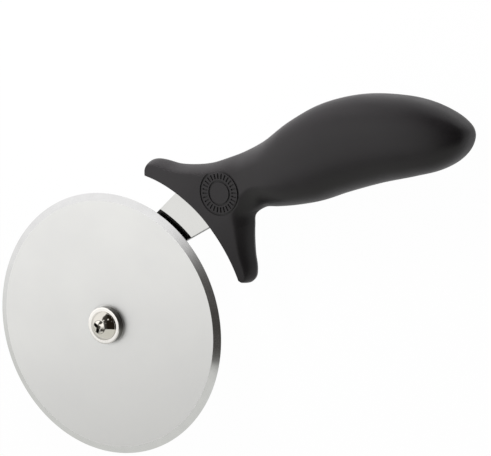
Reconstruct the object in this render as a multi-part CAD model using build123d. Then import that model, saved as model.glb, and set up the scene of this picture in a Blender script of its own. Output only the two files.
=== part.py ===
"""Pizza cutter wheel: a steel disc on a screw axle, carried by a bent steel shank in a moulded handle.

Working frame: X along the grip towards its rounded end, Y up the side that the thumb rests on,
Z along the axle towards the screw's head. Zero is on the axle, in the plane of the disc's edge.
The finished nodes are moved so that the origin is the middle of the underside of the whole box.
"""
import math
import os

from build123d import *

os.makedirs("parts", exist_ok=True)

# Overrun of every cutting tool
overrun = 1.0

# Disc: a ground steel blade with a wide bevel in front and a narrow one behind
wheel_diameter = 101.6
disc_thickness = 1.55
bevel_width = 2.8
bevel_depth = 1.2
back_bevel_width = 0.8
edge_land = 0.1
collar_seat_margin = 0.6
collar_seat_depth = 0.1

# Axle: bush, screw, washers and nut
axle_diameter = 5.0
axle_hole_clearance = 0.15
thread_clearance = 0.05
sleeve_diameter = 8.0
running_clearance = 0.05
axial_play = 0.2
collar_diameter = 14.5
collar_height = 2.65
collar_edge_radius = 0.5
head_diameter = 11.7
head_height = 3.4
head_rim_height = 0.5
recess_span = 4.7
recess_wing_width = 1.1
recess_depth = 2.2
recess_wing_depth = 1.1
recess_core_width = 1.9
recess_turn = 47.0
thrust_washer_diameter = 16.0
plain_washer_diameter = 10.0
plain_washer_thickness = 1.0
lock_washer_diameter = 9.2
lock_washer_thickness = 1.2
lock_washer_split = 0.7
lock_washer_slant = 30.0
nut_width = 8.0
nut_hex_height = 3.6
nut_height = 8.5
nut_dome_diameter = 7.4
nut_blind_margin = 1.6
screw_tip_clearance = 1.0

# Shank: a flat steel arm from the axle to the guard, ending in a tang inside the grip
shank_thickness = 2.5
shank_gap = 2.1
hub_end_radius = 9.5
limb_angle = 58.0
arm_upper_angle = 25.3
arm_lower_angle = 12.1
arm_upper_x = 45.2
arm_upper_y = 41.5
arm_lower_x = 55.0
arm_lower_y = 25.5
arm_upper_bend_radius = 50.0
arm_lower_bend_radius = 35.0
shoulder_depth = 5.5
shoulder_radius = 2.0
tang_width = 11.0
tang_end_margin = 31.0
tang_hole_diameter = 6.0
tang_hole_count = 3
tang_hole_margin = 14.0

# Guard: a crescent round the disc's rim, with one wing on each side of the shank
guard_thickness = 13.0
guard_arc_radius = 52.2
guard_arc_x = 11.4
guard_arc_y = 4.7
guard_axis_angle = 30.7
guard_half_span = 31.8
wing_depth = 8.0
guard_side_bulge = 3.0
guard_tip_share = 0.6
emblem_setback = 12.7
emblem_span_share = -0.023
emblem_diameter = 17.2
emblem_ring_width = 0.8
emblem_depth = 0.4
emblem_inner_diameter = 9.6

# Grip: a humped handle whose axis runs past the disc's centre
grip_rise = 38.0
grip_start_x = 62.0
grip_length = 111.0
grip_height = 33.0
grip_thickness = 24.0
grip_corner_share = 0.42

# Guard stations: share of the half span from the crescent's middle, share of the wing's depth
GUARD_SHARES = [
    (-1.025, 0.30),
    (-1.012, 0.55),
    (-0.985, 0.71),
    (-0.940, 0.80),
    (-0.880, 0.85),
    (-0.760, 0.96),
    (-0.520, 1.46),
    (-0.380, 2.15),
    (-0.280, 2.85),
    (-0.140, 3.10),
    (0.000, 3.10),
    (0.130, 2.80),
    (0.285, 2.08),
    (0.450, 1.43),
    (0.640, 1.00),
    (0.800, 0.88),
    (0.885, 0.85),
    (0.945, 0.76),
    (0.980, 0.60),
    (1.000, 0.34),
]
tip_thinning_share = 0.33

# Grip stations: share of the length, top and bottom as shares of the height, share of the thickness
GRIP_SHARES = [
    (0.00, 0.24, -0.24, 0.44),
    (0.07, 0.305, -0.29, 0.53),
    (0.15, 0.335, -0.305, 0.66),
    (0.25, 0.40, -0.355, 0.81),
    (0.37, 0.53, -0.41, 0.94),
    (0.50, 0.615, -0.395, 1.00),
    (0.64, 0.595, -0.395, 1.00),
    (0.77, 0.48, -0.42, 1.00),
    (0.86, 0.35, -0.425, 0.93),
    (0.93, 0.19, -0.37, 0.78),
    (0.975, 0.04, -0.27, 0.55),
    (1.00, -0.06, -0.17, 0.24),
]

# Levels along the axle
disc_front = bevel_depth
disc_back = disc_front - disc_thickness
collar_seat = disc_front - collar_seat_depth
collar_base = collar_seat + axial_play / 2
collar_top = collar_base + collar_height
thrust_top = disc_back - axial_play / 2
shank_front = -shank_gap
shank_back = shank_front - shank_thickness
plain_washer_back = shank_back - plain_washer_thickness
lock_washer_back = plain_washer_back - lock_washer_thickness
nut_bottom = lock_washer_back - nut_height
handle_level = (shank_front + shank_back) / 2
guard_front = handle_level + guard_thickness / 2

# The tang stops short of the grip's rounded end
tang_end_x = grip_start_x + grip_length - tang_end_margin

# Fits
wheel_radius = wheel_diameter / 2
axle_radius = axle_diameter / 2
axle_hole_radius = axle_radius + axle_hole_clearance
thread_hole_radius = axle_radius + thread_clearance
sleeve_radius = sleeve_diameter / 2
wheel_bore_radius = sleeve_radius + running_clearance


def turned(points):
    """Solid of revolution round the axle from a closed outline of (radius, level) points."""
    outline = Polyline(*[(radius, 0, level) for radius, level in points], close=True)
    return revolve(make_face(outline), Axis.Z)


def ring(outer_radius, inner_radius, low, high):
    """Flat ring round the axle between two levels."""
    return turned([(inner_radius, low), (outer_radius, low), (outer_radius, high), (inner_radius, high)])


def disc():
    """Blade disc with its two ground bevels, its bore and the shallow seat under the collar."""
    seat_radius = collar_diameter / 2 + collar_seat_margin
    return turned([
        (wheel_bore_radius, disc_back),
        (wheel_radius - back_bevel_width, disc_back),
        (wheel_radius, -edge_land / 2),
        (wheel_radius, edge_land / 2),
        (wheel_radius - bevel_width, disc_front),
        (seat_radius, disc_front),
        (seat_radius, collar_seat),
        (wheel_bore_radius, collar_seat),
    ])


def bush():
    """Bush that the disc turns on: a sleeve through the bore under a round collar."""
    body = turned([
        (axle_hole_radius, thrust_top),
        (sleeve_radius, thrust_top),
        (sleeve_radius, collar_base),
        (collar_diameter / 2, collar_base),
        (collar_diameter / 2, collar_top),
        (axle_hole_radius, collar_top),
    ])
    top_rim = body.edges().filter_by(GeomType.CIRCLE).group_by(Axis.Z)[-1].sort_by(SortBy.RADIUS)[-1]
    return fillet(top_rim, collar_edge_radius)


def head_dome():
    """Truss head: a thin straight rim under one round dome."""
    rim_radius = head_diameter / 2
    rim_top = collar_top + head_rim_height
    rise = head_height - head_rim_height
    dome_radius = (rim_radius**2 + rise**2) / (2 * rise)
    middle_radius = rim_radius / 2
    middle_level = rim_top + rise - dome_radius + math.sqrt(dome_radius**2 - middle_radius**2)
    crown = (0, 0, rim_top + rise)
    outline = [
        Line((0, 0, collar_top), (rim_radius, 0, collar_top)),
        Line((rim_radius, 0, collar_top), (rim_radius, 0, rim_top)),
        ThreePointArc((rim_radius, 0, rim_top), (middle_radius, 0, middle_level), crown),
        Line(crown, (0, 0, collar_top)),
    ]
    return revolve(make_face(outline), Axis.Z)


def recess():
    """Cutter for the cross recess: four shallow wings over a square core that goes deeper."""
    top = collar_top + head_height
    wings = Rectangle(recess_span, recess_wing_width) + Rectangle(recess_wing_width, recess_span)
    core = Rectangle(recess_core_width, recess_core_width)
    shallow = extrude(Pos(0, 0, top - recess_wing_depth) * wings, recess_wing_depth + overrun)
    deep = extrude(Pos(0, 0, top - recess_depth) * core, recess_depth)
    return Rot(0, 0, recess_turn) * (shallow + deep)


def screw():
    """Screw on the axle, its tip short of the closed end of the nut."""
    tip = nut_bottom + nut_blind_margin + screw_tip_clearance
    stem = Pos(0, 0, (tip + collar_top) / 2) * Cylinder(axle_radius, collar_top - tip)
    return head_dome() + stem - recess()


def lock_washer():
    """Spring washer with its slanting split closed up under the nut's load."""
    washer = ring(lock_washer_diameter / 2, axle_hole_radius, lock_washer_back, plain_washer_back)
    reach = lock_washer_diameter
    split = Box(reach, lock_washer_split, lock_washer_thickness + 2 * overrun)
    level = (lock_washer_back + plain_washer_back) / 2
    return washer - Pos(reach / 2, 0, level) * Rot(lock_washer_slant, 0, 0) * split


def cap_nut():
    """Low domed nut with a blind hole, standing head down under the washers."""
    hex_bottom = lock_washer_back - nut_hex_height
    outline = RegularPolygon(nut_width / 2, 6, major_radius=False)
    hexagon = extrude(Pos(0, 0, hex_bottom) * outline, nut_hex_height)
    dome_radius = nut_dome_diameter / 2
    wall = nut_height - nut_hex_height - dome_radius
    dome = Pos(0, 0, hex_bottom - wall / 2) * Cylinder(dome_radius, wall)
    dome += Pos(0, 0, hex_bottom - wall) * Sphere(dome_radius)
    hole_bottom = nut_bottom + nut_blind_margin
    hole_height = lock_washer_back - hole_bottom
    hole = Pos(0, 0, hole_bottom + (hole_height + overrun) / 2) * Cylinder(thread_hole_radius, hole_height + overrun)
    return hexagon + dome - hole


def direction(angle):
    """Unit vector at an angle in degrees from X."""
    return Vector(math.cos(math.radians(angle)), math.sin(math.radians(angle)))


def crossing(point_a, angle_a, point_b, angle_b):
    """Point where two lines cross, each given by a point and an angle."""
    way_a = direction(angle_a)
    way_b = direction(angle_b)
    gap = point_b - point_a
    step = (gap.X * way_b.Y - gap.Y * way_b.X) / (way_a.X * way_b.Y - way_a.Y * way_b.X)
    return point_a + way_a * step


def arm_outline():
    """Outline of the shank: round end on the axle, bent arm, shoulders and the straight tang."""
    left = direction(limb_angle + 90) * hub_end_radius
    right = direction(limb_angle - 90) * hub_end_radius
    foot = direction(limb_angle + 180) * hub_end_radius
    upper = Vector(arm_upper_x, arm_upper_y)
    lower = Vector(arm_lower_x, arm_lower_y)
    upper_bend = crossing(left, limb_angle, upper, arm_upper_angle)
    lower_bend = crossing(right, limb_angle, lower, arm_lower_angle)
    upper_shoulder = upper + direction(arm_upper_angle) * shoulder_depth
    lower_shoulder = lower + direction(arm_lower_angle) * shoulder_depth
    tang_top = grip_rise + tang_width / 2
    tang_bottom = grip_rise - tang_width / 2
    corners = [
        left,
        upper_bend,
        upper_shoulder,
        Vector(upper_shoulder.X + shoulder_depth, tang_top),
        Vector(tang_end_x, tang_top),
        Vector(tang_end_x, tang_bottom),
        Vector(lower_shoulder.X + shoulder_depth, tang_bottom),
        lower_shoulder,
        lower_bend,
        right,
    ]
    radii = [arm_upper_bend_radius] + 6 * [shoulder_radius] + [arm_lower_bend_radius]
    side = FilletPolyline(*corners, radius=radii)
    return make_face([side.edges(), ThreePointArc(right, foot, left)])


def shank():
    """Flat steel shank with its axle hole and the tang's keying holes."""
    plate = extrude(Pos(0, 0, shank_back) * arm_outline(), shank_thickness)
    level = (shank_front + shank_back) / 2
    plate -= Pos(0, 0, level) * Cylinder(axle_hole_radius, shank_thickness + 2 * overrun)
    first = grip_start_x + tang_hole_margin
    pitch = (tang_end_x - tang_hole_margin - first) / (tang_hole_count - 1)
    for index in range(tang_hole_count):
        place = Pos(first + index * pitch, grip_rise, level)
        plate -= place * Cylinder(tang_hole_diameter / 2, shank_thickness + 2 * overrun)
    return plate


def around_crescent(span_share, depth):
    """Point near the crescent: share of its half span from its middle, and depth behind its arc."""
    centre = Vector(guard_arc_x, guard_arc_y)
    return centre + direction(guard_axis_angle + guard_half_span * span_share) * (guard_arc_radius + depth)


def guard():
    """Crescent with sharp edges towards the disc and a bulging side towards the fingers."""
    sections = []
    for span_share, depth_share in GUARD_SHARES:
        depth = depth_share * wing_depth
        bulge = min(guard_side_bulge, depth * guard_tip_share)
        half = guard_thickness / 2 * (1 - tip_thinning_share * span_share**2)
        base = around_crescent(span_share, 0)
        outward = direction(guard_axis_angle + guard_half_span * span_share)
        place = Plane(
            origin=(base.X, base.Y, handle_level),
            x_dir=(outward.X, outward.Y, 0),
            z_dir=(-outward.Y, outward.X, 0),
        )
        outline = [
            Line((0, half), (0, -half)),
            Line((0, -half), (depth - bulge, -half)),
            ThreePointArc((depth - bulge, -half), (depth, 0), (depth - bulge, half)),
            Line((depth - bulge, half), (0, half)),
        ]
        sections.append(place * make_face(outline))
    return loft(sections)


def grip():
    """Humped grip through rounded sections, from inside the guard to its rounded end."""
    sections = []
    for along, top, bottom, thick in GRIP_SHARES:
        height = (top - bottom) * grip_height
        thickness = thick * grip_thickness
        middle = grip_rise + (top + bottom) / 2 * grip_height
        radius = grip_corner_share * min(height, thickness)
        place = Plane(
            origin=(grip_start_x + along * grip_length, middle, handle_level),
            x_dir=(0, 1, 0),
            z_dir=(1, 0, 0),
        )
        sections.append(place * RectangleRounded(height, thickness, radius))
    return loft(sections)


def emblem_rings():
    """Two plain ring grooves in the front face of the guard."""
    tool = Part()
    centre = around_crescent(emblem_span_share, emblem_setback)
    place = Pos(centre.X, centre.Y, guard_front - emblem_depth)
    for diameter in (emblem_diameter, emblem_inner_diameter):
        band = Circle(diameter / 2) - Circle(diameter / 2 - emblem_ring_width)
        tool += extrude(place * band, emblem_depth + grip_thickness)
    return tool


def handle():
    """One moulding: guard and grip, hollow only where the shank's tang lies."""
    return guard() + grip() - shank() - emblem_rings()


nodes = {
    "handle": handle(),
    "shank": shank(),
    "cutting_wheel": disc(),
    "hub_bush": bush(),
    "axle_screw": screw(),
    "thrust_washer": ring(thrust_washer_diameter / 2, axle_hole_radius, shank_front, thrust_top),
    "plain_washer": ring(plain_washer_diameter / 2, axle_hole_radius, plain_washer_back, shank_back),
    "lock_washer": lock_washer(),
    "cap_nut": cap_nut(),
}

whole = Compound(list(nodes.values())).bounding_box()
to_origin = Pos(-whole.center().X, -whole.center().Y, -whole.min.Z)
for name, shape in nodes.items():
    export_step(to_origin * shape, f"parts/{name}.step")
axle_place = to_origin.position
print("axle at", [round(value, 3) for value in axle_place])
print("whole size", [round(value, 2) for value in whole.size])
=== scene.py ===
"""Looks of a pizza cutter wheel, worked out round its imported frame.

Every piece is a surface of two parameters, in metres. The disc, the rings, the screw and the nut are
profiles turned round the axle, the shank is a section carried along its arm, and the handle is a sheet
drawn between its outline and its spine.
"""
from __future__ import annotations

import logging
import math
from dataclasses import dataclass
from enum import Enum

import bmesh
import bpy
import numpy as np
from mathutils import Matrix, Vector

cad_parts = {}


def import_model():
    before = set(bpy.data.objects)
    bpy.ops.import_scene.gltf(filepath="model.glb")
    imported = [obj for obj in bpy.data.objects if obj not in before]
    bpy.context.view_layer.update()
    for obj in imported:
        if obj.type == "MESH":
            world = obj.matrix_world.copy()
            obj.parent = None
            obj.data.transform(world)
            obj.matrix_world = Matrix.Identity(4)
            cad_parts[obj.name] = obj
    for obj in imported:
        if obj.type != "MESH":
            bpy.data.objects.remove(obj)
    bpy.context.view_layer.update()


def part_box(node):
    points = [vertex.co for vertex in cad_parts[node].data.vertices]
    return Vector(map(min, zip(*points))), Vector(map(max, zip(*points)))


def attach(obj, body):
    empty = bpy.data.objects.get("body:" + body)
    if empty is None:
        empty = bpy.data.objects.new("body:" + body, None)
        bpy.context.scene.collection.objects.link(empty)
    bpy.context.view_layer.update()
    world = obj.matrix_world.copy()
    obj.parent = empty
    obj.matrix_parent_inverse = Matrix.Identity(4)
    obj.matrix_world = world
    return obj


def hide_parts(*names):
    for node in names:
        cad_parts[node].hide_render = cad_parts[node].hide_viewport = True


LOG = logging.getLogger("pizza_cutter")
Array = np.ndarray
Mesh = tuple[Array, Array]
Pair = tuple[float, float]
Triple = tuple[float, float, float]
Colour = Triple
Step = tuple[float, float, float, float]
Stations = tuple[tuple[float, ...], ...]
Socket = bpy.types.NodeSocket

MM = 0.001
WELD = 0.5e-6
FULL_TURN = 2 * math.pi
CORNER_SHARE = 0.48
SUPPORT_REACH = 1.8
SUPPORT_SHARE = 0.495
LEAST_SQUARE = 1e-18
BATCH = 4_000_000
NOISE_SPAN = (0.25, 0.75)
RING_STRETCH = 2.0
SHARP_ANGLE = 32.0


class Body(Enum):
    """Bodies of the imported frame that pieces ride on."""

    FRAME = "frame"
    WHEEL = "wheel"


class Slot(Enum):
    """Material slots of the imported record."""

    PLASTIC = "handle_plastic"
    BLADE = "blade_steel"
    SHANK = "shank_steel"
    BUSH = "bush_steel"
    NICKEL = "nickel_plate"
    NYLON = "white_nylon"


@dataclass(frozen=True)
class Places:
    """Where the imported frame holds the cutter.

    Places along X and Y count from the axle, and levels along Z from the plane of the disc's edge.
    """

    axle_x: float
    axle_y: float
    edge_level: float

    @classmethod
    def read(cls, bevel_depth: float) -> Places:
        """Reads the axle from the disc's box, whose top lies a bevel's depth above its edge."""
        low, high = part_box("cutting_wheel")
        return cls((low.x + high.x) / 2, (low.y + high.y) / 2, high.z - bevel_depth)

    def placed(self, points: Array) -> Array:
        """Moves points that count from the axle into the frame."""
        return points + np.array([self.axle_x, self.axle_y, self.edge_level])

    def span(self, node: str) -> tuple[float, float, float]:
        """Lowest level, highest level and outer radius of a node, which is half its box's shorter side."""
        low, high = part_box(node)
        return low.z - self.edge_level, high.z - self.edge_level, min(high.x - low.x, high.y - low.y) / 2


def smooth_step(low: float, high: float, value: Array) -> Array:
    """Eased share from 0 at low to 1 at high: three times its square less twice its cube."""
    share = np.clip((value - low) / (high - low), 0, 1)
    return share * share * (3 - 2 * share)


def way(angle: float | Array) -> Array:
    """Unit way in the plane at an angle in degrees from X: its cosine and its sine."""
    return np.stack([np.cos(np.radians(angle)), np.sin(np.radians(angle))], axis=-1)


def crossing(first: Array, first_angle: float, second: Array, second_angle: float) -> Array:
    """Point where two lines cross, each given by a point and an angle in degrees."""
    a, b, gap = way(first_angle), way(second_angle), second - first
    return first + a * (gap[0] * b[1] - gap[1] * b[0]) / (a[0] * b[1] - a[1] * b[0])


def sheet_faces(rows: int, columns: int, wrapped: bool = False) -> Array:
    """Quads of a grid of points that is numbered row by row.

    Args:
        rows: number of rows of points.
        columns: number of points in a row.
        wrapped: True where the last column joins the first.

    Returns:
        The four corner numbers of each quad.
    """
    across = columns if wrapped else columns - 1
    row, column = np.meshgrid(np.arange(rows - 1), np.arange(across), indexing="ij")
    here, after = row * columns + column, row * columns + (column + 1) % columns
    return np.stack([here, after, after + columns, here + columns], axis=-1).reshape(-1, 4)


def swept(radius: Array, level: Array, turn: Array) -> Array:
    """Places on a turn a about the axle: (r cos a, r sin a, z) for a radius r and a level z."""
    return np.stack([radius * np.cos(turn), radius * np.sin(turn), level + 0 * turn], axis=-1)


def turned(profile: Array, segments: int) -> Mesh:
    """Surface of revolution.

    Args:
        profile: points (radius, level), closed or with both ends on the axis.
        segments: number of steps round the axis.

    Returns:
        The points and the quads.
    """
    turn = np.linspace(0, FULL_TURN, segments, endpoint=False)
    points = swept(profile[:, :1], profile[:, 1:], turn)
    return points.reshape(-1, 3), sheet_faces(len(profile), segments, wrapped=True)


def joined(parts: list[Mesh]) -> Mesh:
    """Several meshes as one.

    Args:
        parts: points and quads of each mesh.

    Returns:
        All points, and the quads with each corner number raised by the count of points before its mesh.
    """
    before = np.cumsum([0] + [len(points) for points, faces in parts])
    faces = [faces + count for (points, faces), count in zip(parts, before)]
    return np.vstack([points for points, faces in parts]), np.vstack(faces)


def rounded(corners: Array, radii: Array, steps: int = 5, closed: bool = True) -> Array:
    """Outline with its corners rounded.

    A corner c with unit ways a and b to its neighbours becomes the quadratic curve
    (1 - s)^2 (c + t a) + 2 s (1 - s) c + s^2 (c + t b), where t is the radius over the tangent of half
    the corner's angle, and at most a set share of the shorter side. One more point on each side, at
    about 1.8 t from the corner, keeps the flat beyond it shaded flat.

    Args:
        corners: corner points, in order.
        radii: radius of each corner.
        steps: number of steps along each rounding.
        closed: True for a loop, which then ends on its first point.

    Returns:
        The points of the rounded outline.
    """
    radii = radii.astype(float)
    back = np.roll(corners, 1, axis=0) - corners
    ahead = np.roll(corners, -1, axis=0) - corners
    if not closed:
        radii[[0, -1]] = 0
        back[0], ahead[-1] = -ahead[0], -back[-1]
    back_length = np.linalg.norm(back, axis=1, keepdims=True)
    ahead_length = np.linalg.norm(ahead, axis=1, keepdims=True)
    back, ahead = back / back_length, ahead / ahead_length
    half_angle = np.arccos(np.clip((back * ahead).sum(axis=1), -1, 1)) / 2
    shorter = np.minimum(back_length, ahead_length)[:, 0]
    reach = np.minimum(radii / np.tan(half_angle), CORNER_SHARE * shorter)[:, None]
    start, end = (corners + back * reach)[:, None], (corners + ahead * reach)[:, None]
    share = np.linspace(0, 1, steps + 1)[None, :, None]
    curve = (1 - share) ** 2 * start + 2 * share * (1 - share) * corners[:, None] + share**2 * end
    before = corners + back * np.minimum(SUPPORT_REACH * reach, SUPPORT_SHARE * back_length)
    beyond = corners + ahead * np.minimum(SUPPORT_REACH * reach, SUPPORT_SHARE * ahead_length)
    curve = np.concatenate([before[:, None], curve, beyond[:, None]], axis=1)
    curve = curve.reshape(-1, corners.shape[1])
    return np.vstack([curve, curve[:1]]) if closed else curve


def section(rows: list[Triple], steps: int = 5, closed: bool = True) -> Array:
    """Rounded outline from rows that hold a corner's radius, its level and its rounding."""
    table = np.array(rows)
    return rounded(table[:, :2], table[:, 2], steps, closed)


def smooth_curve(knots: Array, steps: int = 48) -> Array:
    """Smooth curve through the knots.

    Each span is a cubic whose end slopes are the means of the slopes on both sides, weighted by the
    span on the far side, with the square root of a chord's length as its span. At the curve's two ends
    the slope is one and a half of its chord's, less half of its neighbour's.

    Args:
        knots: points to pass through, in order.
        steps: number of steps in each span.

    Returns:
        The points of the curve.
    """
    chords = np.diff(knots, axis=0)
    spans = np.sqrt(np.linalg.norm(chords, axis=1))[:, None]
    slopes = chords / spans
    inner = (slopes[:-1] * spans[1:] + slopes[1:] * spans[:-1]) / (spans[:-1] + spans[1:])
    ends = 1.5 * slopes[[0, -1]] - 0.5 * inner[[0, -1]]
    slope = np.vstack([ends[:1], inner, ends[1:]])
    s = np.linspace(0, 1, steps, endpoint=False)[None, :, None]
    start, end = knots[:-1, None], knots[1:, None]
    leave, arrive = (slope[:-1] * spans)[:, None], (slope[1:] * spans)[:, None]
    curve = (2 * s**3 - 3 * s**2 + 1) * start + (s**3 - 2 * s**2 + s) * leave
    curve = curve + (3 * s**2 - 2 * s**3) * end + (s**3 - s**2) * arrive
    return np.vstack([curve.reshape(-1, knots.shape[1]), knots[-1:]])


def nearness(points: Array, line: Array, reach: Array) -> Array:
    """Least distance from each point to a line of straight runs, each divided by its run's reach.

    Args:
        points: places in the plane.
        line: points of the line.
        reach: reach of the line at each of its points.

    Returns:
        The least share of a reach, for each place.
    """
    start, run = line[:-1], np.diff(line, axis=0)
    square = np.maximum((run**2).sum(axis=1), LEAST_SQUARE)
    scale = ((reach[:-1] + reach[1:]) / 2) ** 2
    nearest = []
    for some in np.array_split(points, max(1, len(points) * len(start) // BATCH)):
        gap = some[:, None] - start[None]
        along = np.clip((gap * run).sum(axis=2) / square, 0, 1)
        nearest.append(np.sqrt((((gap - along[..., None] * run) ** 2).sum(axis=2) / scale).min(axis=1)))
    return np.concatenate(nearest)


def linked(name: str, data: bpy.types.ID) -> bpy.types.Object:
    """Makes an object.

    Args:
        name: the object's name.
        data: its mesh, light or camera.

    Returns:
        The object, linked to the scene.
    """
    thing = bpy.data.objects.new(name, data)
    bpy.context.scene.collection.objects.link(thing)
    return thing


def make_piece(name: str, points: Array, faces: Array,
               sharp_angle: float = SHARP_ANGLE) -> bpy.types.Object:
    """Makes a closed mesh object from points and faces, welded, facing outwards and smoothly shaded.

    Args:
        name: name of the piece.
        points: places of the points in the frame.
        faces: corner numbers of the faces.
        sharp_angle: turn in degrees from which an edge is shaded as sharp.

    Returns:
        The object, at the origin, linked to the scene.
    """
    mesh = bpy.data.meshes.new(name)
    mesh.from_pydata(points.tolist(), [], faces.tolist())
    work = bmesh.new()
    work.from_mesh(mesh)
    bmesh.ops.remove_doubles(work, verts=work.verts, dist=WELD)
    bmesh.ops.dissolve_degenerate(work, edges=work.edges, dist=WELD)
    bmesh.ops.recalc_face_normals(work, faces=work.faces)
    open_edges = sum(not edge.is_manifold for edge in work.edges)
    work.to_mesh(mesh)
    work.free()
    mesh.shade_smooth()
    mesh.set_sharp_from_angle(angle=math.radians(sharp_angle))
    LOG.info("%s: %d faces, %d open edges", name, len(mesh.polygons), open_edges)
    return linked(name, mesh)


def cut(piece: bpy.types.Object, tool: bpy.types.Object, sharp_angle: float = SHARP_ANGLE) -> None:
    """Takes a closed tool out of a piece and deletes the tool.

    Args:
        piece: the piece, whose mesh is replaced.
        tool: the closed tool.
        sharp_angle: turn in degrees from which an edge is shaded as sharp.
    """
    modifier = piece.modifiers.new("cut", "BOOLEAN")
    modifier.operation, modifier.solver, modifier.object = "DIFFERENCE", "EXACT", tool
    mesh = bpy.data.meshes.new_from_object(piece.evaluated_get(bpy.context.evaluated_depsgraph_get()))
    piece.modifiers.clear()
    piece.data = mesh
    mesh.set_sharp_from_angle(angle=math.radians(sharp_angle))
    bpy.data.objects.remove(tool)
    LOG.info("%s after its cut: %d faces", piece.name, len(mesh.polygons))


def face_values(piece: bpy.types.Object, name: str) -> Array:
    """Centres or normals of a piece's faces.

    Args:
        piece: the piece.
        name: center or normal.

    Returns:
        One row of three values for each face.
    """
    values = np.empty(len(piece.data.polygons) * 3)
    piece.data.polygons.foreach_get(name, values)
    return values.reshape(-1, 3)


class Nodes:
    """Adds nodes to one tree, each with its settings, values and links in one call."""

    def __init__(self, tree: bpy.types.NodeTree) -> None:
        """Takes the tree and empties it."""
        self.tree = tree
        tree.nodes.clear()

    def feed(self, node: bpy.types.Node, name: str | int, value: object) -> None:
        """Links a socket to a node's input, or else gives the input a value.

        Args:
            node: the node.
            name: the input's name or number.
            value: a value or an output socket.
        """
        if isinstance(value, Socket):
            self.tree.links.new(value, node.inputs[name])
        else:
            node.inputs[name].default_value = value

    def add(self, kind: str, inputs: dict | None = None, **settings: object) -> bpy.types.Node:
        """Adds a node.

        Args:
            kind: the node's type without its Shader Node prefix.
            inputs: a value or an output socket for each input, by its name or number.
            settings: the node's own properties.

        Returns:
            The node.
        """
        node = self.tree.nodes.new(kind if kind.startswith("NodeGroup") else "ShaderNode" + kind)
        for name, value in settings.items():
            setattr(node, name, value)
        for name, value in (inputs or {}).items():
            self.feed(node, name, value)
        return node

    def math(self, operation: str, *values: object) -> Socket:
        """Result of one sum on values or sockets."""
        return self.add("Math", dict(enumerate(values)), operation=operation).outputs[0]

    def vector(self, operation: str, *values: object) -> Socket:
        """Result of one vector sum: a number for a length or a dot product, else a vector."""
        node = self.add("VectorMath", dict(enumerate(values)), operation=operation)
        return node.outputs["Value" if operation in ("LENGTH", "DOT_PRODUCT") else "Vector"]

    def eased(self, value: object, low: float, high: float, start: float = 0.0, end: float = 1.0) -> Socket:
        """Eased step of a value from start, at low, to end, at high."""
        inputs = {"Value": value, "From Min": low, "From Max": high, "To Min": start, "To Max": end}
        return self.add("MapRange", inputs, interpolation_type="SMOOTHSTEP").outputs["Result"]

    def mixed(self, share: object, first: object, second: object) -> Socket:
        """Colour between two colours, by a share."""
        colours = (value if isinstance(value, Socket) else (*value, 1.0) for value in (first, second))
        return self.add("Mix", {0: share} | dict(zip((6, 7), colours)), data_type="RGBA").outputs[2]


def new_material(name: str) -> tuple[bpy.types.Material, Nodes]:
    """Makes an empty material.

    Args:
        name: the material's name.

    Returns:
        The material and its nodes.
    """
    material = bpy.data.materials.new(name)
    material.use_nodes = True
    return material, Nodes(material.node_tree)


def start_group(name: str, size: str, default: float) -> tuple[Nodes, bpy.types.bpy_prop_collection]:
    """Starts a shader node group that makes a value from a place and a size.

    Args:
        name: the group's name.
        size: name of the input for the size.
        default: default of that input.

    Returns:
        The group's nodes, and its inputs as sockets by name.
    """
    tree = bpy.data.node_groups.new(name, "ShaderNodeTree")
    tree.interface.new_socket("Vector", in_out="INPUT", socket_type="NodeSocketVector")
    tree.interface.new_socket(size, in_out="INPUT", socket_type="NodeSocketFloat").default_value = default
    tree.interface.new_socket("Value", in_out="OUTPUT", socket_type="NodeSocketFloat")
    nodes = Nodes(tree)
    return nodes, nodes.add("NodeGroupInput").outputs


def end_group(nodes: Nodes, place: Socket, scale: object, detail: float,
              roughness: float) -> bpy.types.NodeTree:
    """Ends a group with a noise, its middle half spread from 0 to 1.

    Args:
        nodes: the group's nodes.
        place: where the noise is read.
        scale: scale of the noise.
        detail: its number of finer layers.
        roughness: how strong these are.

    Returns:
        The group.
    """
    inputs = {"Vector": place, "Scale": scale, "Detail": detail, "Roughness": roughness}
    noise = nodes.add("TexNoise", inputs).outputs["Fac"]
    spread = nodes.add("MapRange", {"Value": noise, "From Min": NOISE_SPAN[0], "From Max": NOISE_SPAN[1]})
    nodes.add("NodeGroupOutput", {"Value": spread.outputs["Result"]})
    return nodes.tree


def speckle_group() -> bpy.types.NodeTree:
    """Even noise of one grain size.

    Returns:
        The group.
    """
    nodes, start = start_group("Speckle", "Grain", default=1.0 * MM)
    scale = nodes.math("DIVIDE", 1.0, start["Grain"])
    return end_group(nodes, start["Vector"], scale, detail=3.0, roughness=0.6)


def turned_group() -> bpy.types.NodeTree:
    """Fine rings round the Z axis, as a lathe or a belt leaves them.

    The noise runs along the radius, and slowly along the way round.

    Returns:
        The group.
    """
    nodes, start = start_group("Turned rings", "Pitch", default=0.2 * MM)
    flat = nodes.vector("MULTIPLY", start["Vector"], (1, 1, 0))
    around = nodes.add("SeparateXYZ", {0: nodes.vector("NORMALIZE", flat)}).outputs
    steps = nodes.math("DIVIDE", nodes.vector("LENGTH", flat), start["Pitch"])
    slow = (nodes.math("MULTIPLY", around[axis], RING_STRETCH) for axis in "XY")
    place = nodes.add("CombineXYZ", dict(zip("XYZ", (steps, *slow))))
    return end_group(nodes, place.outputs[0], 1.0, detail=4.0, roughness=0.7)


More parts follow.
